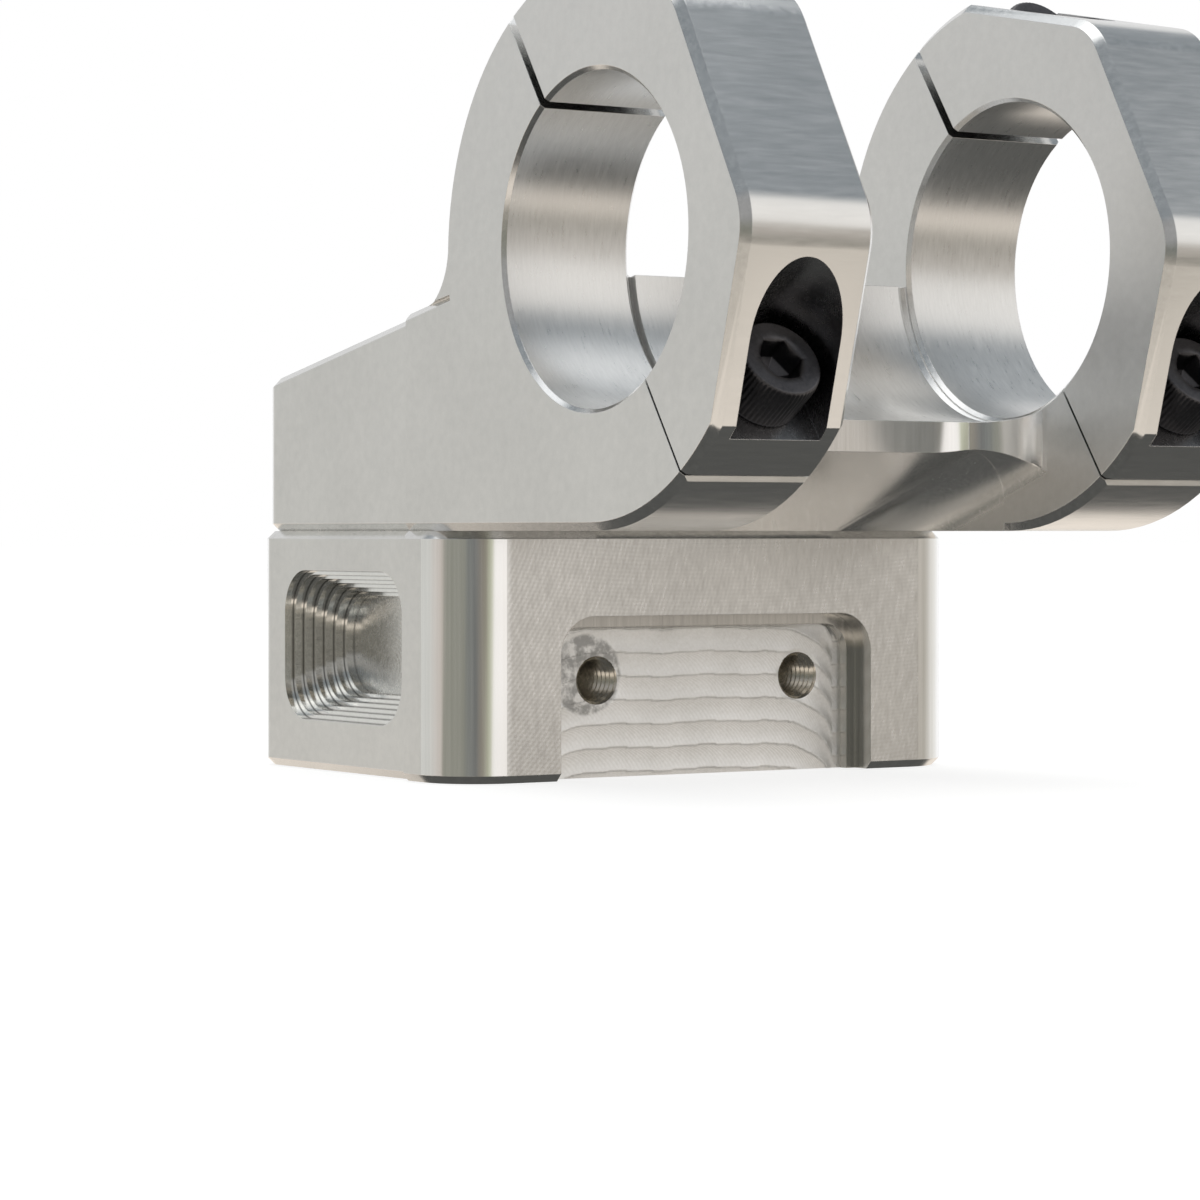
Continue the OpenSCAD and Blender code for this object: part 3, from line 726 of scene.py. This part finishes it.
def floor_relief(x, z):
    """Height of the floor above its CAD plane: troughs of the passes and the plunge.

    Within a pass, t runs from 0 at its upper edge to 1 at its lower one. The height
    is RIDGE_HEIGHT times 0.45 (2 t - 1)^2 + 0.55 t^3, a hollow that rises to a thin
    ridge above the next pass. Inside the plunge circle it is a flat dish with fine
    rings. It fades out within 0.4 mm of the fillet and the holes.
    """
    t = pass_place(x, z) % 1.0
    troughs = RIDGE_HEIGHT * (0.45 * (2 * t - 1) ** 2 + 0.55 * t ** 3)
    away = np.hypot(x - PLUNGE_X, z - PLUNGE_Z)
    inside = np.clip((PLUNGE_R - away) / 0.25, 0, 1)
    rings = 0.012 + 0.006 * np.sin(away * math.tau / 0.6)
    height = troughs * (1 - inside) + rings * inside
    across = floor_half_width(z) - np.abs(x)
    for side in (-1, 1):
        across = np.minimum(across, np.hypot(x - side * HOLE_X, z - HOLE_Z) - RIM_R)
    across = np.minimum(across, FLOOR_TOP - z)
    return height * np.clip(across / 0.4, 0, 1)


def floor_half_width(z):
    """Half width of the flat floor: constant, then the inside of its round corners."""
    rise = np.clip(z - (FLOOR_TOP - CORNER_R), 0, CORNER_R)
    return FLOOR_HALF_W - CORNER_R + np.sqrt(CORNER_R ** 2 - rise ** 2)


CELL = 0.11
rows = np.linspace(0, FLOOR_TOP, int(FLOOR_TOP / CELL))
share = np.linspace(-1, 1, int(2 * FLOOR_HALF_W / CELL))
z_grid = np.repeat(rows[:, None], len(share), 1)
x_grid = share[None, :] * floor_half_width(z_grid)
for side in (-1, 1):
    away_x, away_z = x_grid - side * HOLE_X, z_grid - HOLE_Z
    away = np.maximum(np.hypot(away_x, away_z), 1e-6)
    near_rim = np.abs(away - RIM_R) < 0.62 * CELL
    x_grid = np.where(near_rim, side * HOLE_X + away_x * RIM_R / away, x_grid)
    z_grid = np.where(near_rim, HOLE_Z + away_z * RIM_R / away, z_grid)
relief = floor_relief(x_grid, z_grid)
floor_points = np.stack([x_grid, FLOOR_Y - relief, z_grid], -1)
pocket_floor = grid_object("front_pocket_floor", floor_points,
    outward=lambda centres: np.tile([0.0, -1.0, 0.0], (len(centres), 1)))

work = bmesh.new()
work.from_mesh(pocket_floor.data)
centres, _ = face_facts(pocket_floor.data)
hole = np.hypot(np.abs(centres[:, 0]) - HOLE_X, centres[:, 2] - HOLE_Z) < RIM_R
work.faces.ensure_lookup_table()
bmesh.ops.delete(work, geom=[work.faces[i] for i in np.flatnonzero(hole)], context="FACES")
work.to_mesh(pocket_floor.data)
work.free()

passes = pocket_floor.data.uv_layers.new(name="passes")
where = np.empty(len(pocket_floor.data.vertices) * 3)
pocket_floor.data.vertices.foreach_get("co", where)
where = where.reshape(-1, 3) / MM
corner = np.empty(len(pocket_floor.data.loops), np.int32)
pocket_floor.data.loops.foreach_get("vertex_index", corner)
place_in_passes = pass_place(where[:, 0], where[:, 2])
into_pass = (place_in_passes % 1.0) * PASS_PITCH
lead = where[:, 0] - np.sqrt(np.clip(CUTTER_R ** 2 - (into_pass - CUTTER_R) ** 2, 0, None))
from_plunge = np.hypot(where[:, 0] - PLUNGE_X, where[:, 2] - PLUNGE_Z)
plunged = np.clip((PLUNGE_R - from_plunge) / 0.3, 0, 1)
passes.data.foreach_set("uv", np.stack([lead, place_in_passes], -1)[corner].ravel())
mark = pocket_floor.data.attributes.new("plunged", "FLOAT", "POINT")
mark.data.foreach_set("value", plunged)
print("pocket floor:", len(pocket_floor.data.polygons), "faces, relief up to",
    round(float(relief.max()), 3), "mm")

# %% [markdown]
# The floor's finish reads two things that the mesh carries: how far along its pass
# a point lies, for the fine arcs of each turn of the cutter, and how deep it is in
# the plunge mark, which is darker and mottled.

# %% Finish of the pocket floor
ARC_PITCH, ARC_HEIGHT, MOTTLE_SHARE = 0.5, 0.007, 0.75


def swept_floor():
    """Bright floor with fine cutter arcs along each pass, dark mottling in the plunge."""
    made = milled("swept_pocket_floor", grey=0.98, rough=0.48, grain=(2600, 2600, 2600), depth=0.005,
        spread=0.07, blotch=300.0)
    tree = made.node_tree
    link = tree.links.new
    relief_node = next(n for n in tree.nodes if n.bl_idname == "ShaderNodeBump")
    metal = next(n for n in tree.nodes if n.bl_idname == "ShaderNodeBsdfPrincipled")
    along = node(tree, "ShaderNodeSeparateXYZ")
    link(node(tree, "ShaderNodeUVMap", uv_map="passes").outputs[0], along.inputs[0])
    arcs = math_node(tree, "SINE", math_node(tree, "MULTIPLY", along.outputs["X"], math.tau / ARC_PITCH))
    old = relief_node.inputs["Height"].links[0].from_socket
    patchy = node(tree, "ShaderNodeTexNoise", Scale=760.0, Detail=4.0, Roughness=0.62)
    link(node(tree, "ShaderNodeTexCoord").outputs["Object"], patchy.inputs["Vector"])
    uneven = math_node(tree, "MULTIPLY", arcs, patchy.outputs["Fac"])
    ridges = math_node(tree, "MULTIPLY", uneven, ARC_HEIGHT)
    link(math_node(tree, "ADD", old, ridges), relief_node.inputs["Height"])
    marked = node(tree, "ShaderNodeAttribute", attribute_name="plunged").outputs["Fac"]
    fleck = ramp(tree, patchy.outputs["Fac"], [(0.42, 0.30), (0.60, 0.95)], "LINEAR")
    bright = metal.inputs["Base Color"].links[0].from_socket
    mottled = mix_colour(tree, 1.0, bright, fleck, "MULTIPLY")
    colour = mix_colour(tree, math_node(tree, "MULTIPLY", marked, MOTTLE_SHARE), bright, mottled)
    link(colour, metal.inputs["Base Color"])
    return made


pocket_floor.data.materials.append(swept_floor())
finish_piece(pocket_floor)
print("pocket floor finished")

# %% [markdown]
# A tapped hole is a helical groove. On this grid one direction runs round the hole
# and the other down it. The radius is a triangle wave of the depth over the pitch
# less the turn, so the groove climbs by one pitch per turn. At the mouth the
# countersink's cone takes over wherever it is wider.

# %% Threads in the tapped holes
HOLE_STEP, HOLE_COLUMNS = 0.05, 72
DRILL_HALF_ANGLE = math.radians(59)


def rounded_wave(turn):
    """A triangle wave of the turn, from 0 up to 1 and back, with its tips cut flat."""
    return np.clip(1.15 * (1 - np.abs(2 * turn - 1)) - 0.05, 0, 1)


def tapped_hole(name, mouth, inward, across, minor, major, pitch, depth, rim, closed):
    """The wall of a tapped hole, in millimetres, from its mouth inwards.

    radius = max(minor + (major - minor) * w, rim - d) with w the rounded wave of
    d / pitch - a / tau, d the depth and a the angle round the hole. A closed hole
    ends in the cone of a drill.
    """
    mouth, inward, across = (np.asarray(v, float) for v in (mouth, inward, across))
    up = np.cross(inward, across)
    d = np.linspace(0, depth, int(depth / HOLE_STEP) + 1)
    a = np.arange(HOLE_COLUMNS) * math.tau / HOLE_COLUMNS
    w = rounded_wave((d[:, None] / pitch - a[None, :] / math.tau) % 1.0)
    r = np.maximum(minor + (major - minor) * w, rim - d[:, None])
    d = np.repeat(d[:, None], len(a), 1)
    if closed:
        steps = np.linspace(1, 0, 8)[:, None]
        r = np.vstack([r, minor * steps * np.ones_like(a)])
        d = np.vstack([d, depth + minor * (1 - steps) / math.tan(DRILL_HALF_ANGLE) * np.ones_like(a)])
    points = (mouth + d[..., None] * inward + (r * np.cos(a))[..., None] * across
        + (r * np.sin(a))[..., None] * up)
    wall = grid_object(name, points, wrap=True,
        outward=lambda centres: mouth + ((centres - mouth) @ inward)[:, None] * inward - centres)
    wall.data.materials.append(thread_finish)
    finish_piece(wall)


thread_finish = milled("cut_threads", grey=0.66, rough=0.2, grain=(1500, 1500, 1500), depth=0.0015,
    spread=0.1, tint=(1.0, 0.955, 0.86), bevel=0.04)
for word, side in (("left", -1), ("right", 1)):
    tapped_hole(f"{word}_accessory_thread", (side * HOLE_X, FLOOR_Y, HOLE_Z), (0, 1, 0), (1, 0, 0),
        HOLE_R, 2.5, 0.8, HOLE_D, RIM_R, True)
    for place, front in (("front", -1), ("rear", 1)):
        tapped_hole(f"{place}_{word}_base_thread", (side * BODY_SCREW_X, front * BODY_SCREW_Y, 0),
            (0, 0, 1), (1, 0, 0), BASE_R, 3.0, 1.0, BASE_D, BASE_RIM_R, False)
print("threads: 2 in the pocket, 4 in the base")

# %% [markdown]
# The screws are black oxide steel and the washers plain steel. Both are dull and
# fine grained, with a slight blue, so one function makes the two finishes and only
# the grey and the roughness differ.

# %% Steel finishes
STEEL_SWING = 0.2


def fine_steel(name, grey, rough):
    """Steel with a fine dull grain, slightly blue."""
    made = bpy.data.materials.new(name)
    made.use_nodes = True
    tree = made.node_tree
    tree.nodes.clear()
    link = tree.links.new
    place = node(tree, "ShaderNodeTexCoord").outputs["Object"]
    grain = node(tree, "ShaderNodeTexNoise", Scale=2600.0, Detail=3.0, Roughness=0.7)
    link(place, grain.inputs["Vector"])
    patch = node(tree, "ShaderNodeTexNoise", Scale=350.0, Detail=2.0)
    link(place, patch.inputs["Vector"])
    total = math_node(tree, "ADD", grain.outputs["Fac"], patch.outputs["Fac"])
    mixed = math_node(tree, "MULTIPLY", total, 0.5)
    colour = ramp(tree, mixed, [(0.35, [grey * 0.75, grey * 0.74, grey * 0.8]),
        (0.65, [grey * 1.25, grey * 1.22, grey * 1.3])], "LINEAR")
    worn = math_node(tree, "MULTIPLY_ADD", grain.outputs["Fac"], STEEL_SWING)
    worn.node.inputs[2].default_value = rough - STEEL_SWING / 2
    relief = node(tree, "ShaderNodeBump", Strength=1.0, Distance=MM)
    link(math_node(tree, "MULTIPLY", grain.outputs["Fac"], 0.004), relief.inputs["Height"])
    steel = node(tree, "ShaderNodeBsdfPrincipled", Metallic=1.0)
    link(colour, steel.inputs["Base Color"])
    link(worn, steel.inputs["Roughness"])
    link(relief.outputs[0], steel.inputs["Normal"])
    out = node(tree, "ShaderNodeOutputMaterial")
    link(steel.outputs[0], out.inputs["Surface"])
    return made


screw_black = fine_steel("black_oxide", 0.10, 0.42)
washer_grey = fine_steel("plain_washer", 0.42, 0.34)
print("steel finishes:", screw_black.name, washer_grey.name)

# %% [markdown]
# The heads of the socket screws have a straight knurl of about sixty ridges, a
# hexagon socket with a broken rim, and a soft round at the top. Head and shank are
# turned on two grids: the head needs many columns for its knurl, while the shank
# needs many rows for its thread.

# %% Socket screws
SHANK_STEP, SHANK_COLUMNS, THREAD_DEPTH = 0.08, 48, 0.6134


def hexagon(a, apothem):
    """Radius of a hexagon at an angle: apothem over the cosine within its sixth."""
    sixth = math.tau / 6
    return apothem / np.cos((a % sixth) - sixth / 2)


def socket_screw(name, seat, axis, d, length, head_d, hexagon_w, pitch, ridges):
    """A socket head screw in millimetres, its seat at a point and its head along axis.

    Head rows: under the head, up the knurled side, over the rounded rim, in to the
    socket, down its six walls and in along a shallow cone. The knurled radius is
    head_d / 2 less a triangle wave of the angle times the number of ridges. The
    shank's radius is d / 2 less the thread's depth times the rounded wave of
    h / pitch + b / tau, h the height and b the angle, and its tip is narrowed.
    """
    seat, axis = np.asarray(seat, float), np.asarray(axis, float)
    across = np.array([1.0, 0.0, 0.0])
    up = np.cross(axis, across)

    def placed(radii, heights, angles):
        return (seat + heights[..., None] * axis + (radii * np.cos(angles))[..., None] * across
            + (radii * np.sin(angles))[..., None] * up)

    a = np.arange(ridges * 4) * math.tau / (ridges * 4)
    ones = np.ones_like(a)
    knurl = 0.022 * d * (1 - np.abs(((a * ridges / math.tau) % 1) * 2 - 1))
    outer, tall, socket = head_d / 2, d, hexagon(a, hexagon_w / 2)
    rim = 0.09 * d
    round_steps = np.linspace(0, math.pi / 2, 6)
    rows = [(d * 0.45, 0.0), (outer - 0.06 * d, 0.0), (outer - knurl * 0.3 - 0.01 * d, 0.03 * d),
        (outer - knurl, 0.08 * d)]
    rows += [(outer - knurl, h * d) for h in (0.3, 0.55, 0.78)]
    rows += [(outer - rim + (rim - 0.2 * rim) * math.cos(s) - knurl * math.cos(s) ** 2,
        tall - rim + rim * math.sin(s)) for s in round_steps]
    rows += [(socket * 0.5 + (outer - rim) * 0.5, tall),
        (np.maximum(socket, hexagon_w / 2 * 1.13) + 0.03 * d, tall),
        (np.maximum(socket, hexagon_w / 2 * 1.10), tall - 0.03 * d),
        (socket, tall - 0.07 * d), (socket, tall * 0.75), (socket, tall * 0.52),
        (socket * 0.96, tall * 0.49), (0.0, tall * 0.36)]
    radii = np.stack([r * ones for r, _ in rows])
    heights = np.stack([h * ones for _, h in rows])
    head = grid_object(name + "_head", placed(radii, heights, a[None, :]), wrap=True)

    b = np.arange(SHANK_COLUMNS) * math.tau / SHANK_COLUMNS
    h = np.linspace(-length, 0, int(length / SHANK_STEP) + 1)
    w = rounded_wave((h[:, None] / pitch + b[None, :] / math.tau) % 1.0)
    tip = np.clip((h[:, None] + length) / (0.15 * d), 0, 1)
    smooth_end = np.clip((-h[:, None]) / 0.5, 0, 1)
    r = d / 2 - THREAD_DEPTH * pitch * w * smooth_end
    r = np.minimum(r, d / 2 - 0.15 * d * (1 - tip))
    h = np.repeat(h[:, None], len(b), 1)
    r = np.vstack([np.zeros((1, len(b))), r])
    h = np.vstack([np.full((1, len(b)), -length), h])
    shank = grid_object(name + "_shank", placed(r, h, b[None, :]), wrap=True)
    for piece in (head, shank):
        piece.data.materials.append(screw_black)
        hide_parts(name)
        finish_piece(piece)


CAP_SCREW = dict(d=5.0, length=16.0, head_d=8.5, hexagon_w=4.0, pitch=0.8, ridges=56)
BODY_SCREW = dict(d=6.0, length=25.0, head_d=10.0, hexagon_w=5.0, pitch=1.0, ridges=64)
# A cap seat is its screw's name, its place along the split and its height above it.
CAP_SEATS = (("lower", -21.2, 5.5), ("upper", 21.2, 6.2))
BODY_SEAT_Z = 36.0
for word, side in (("left", -1), ("right", 1)):
    for level, reach, height in CAP_SEATS:
        seat = bore_centre + [side * CLAMP_X, 0, 0] + reach * split_along + height * split_normal
        socket_screw(f"{word}_{level}_clamp_screw", seat, split_normal, **CAP_SCREW)
    for place, front in (("front", -1), ("rear", 1)):
        seat = (side * BODY_SCREW_X, front * BODY_SCREW_Y, BODY_SEAT_Z)
        socket_screw(f"{place}_{word}_body_screw", seat, (0, 0, 1), **BODY_SCREW)
        frame["nodes"][f"{place}_{word}_washer"].material_slots[0].material = washer_grey
print("8 socket screws, 4 washers")
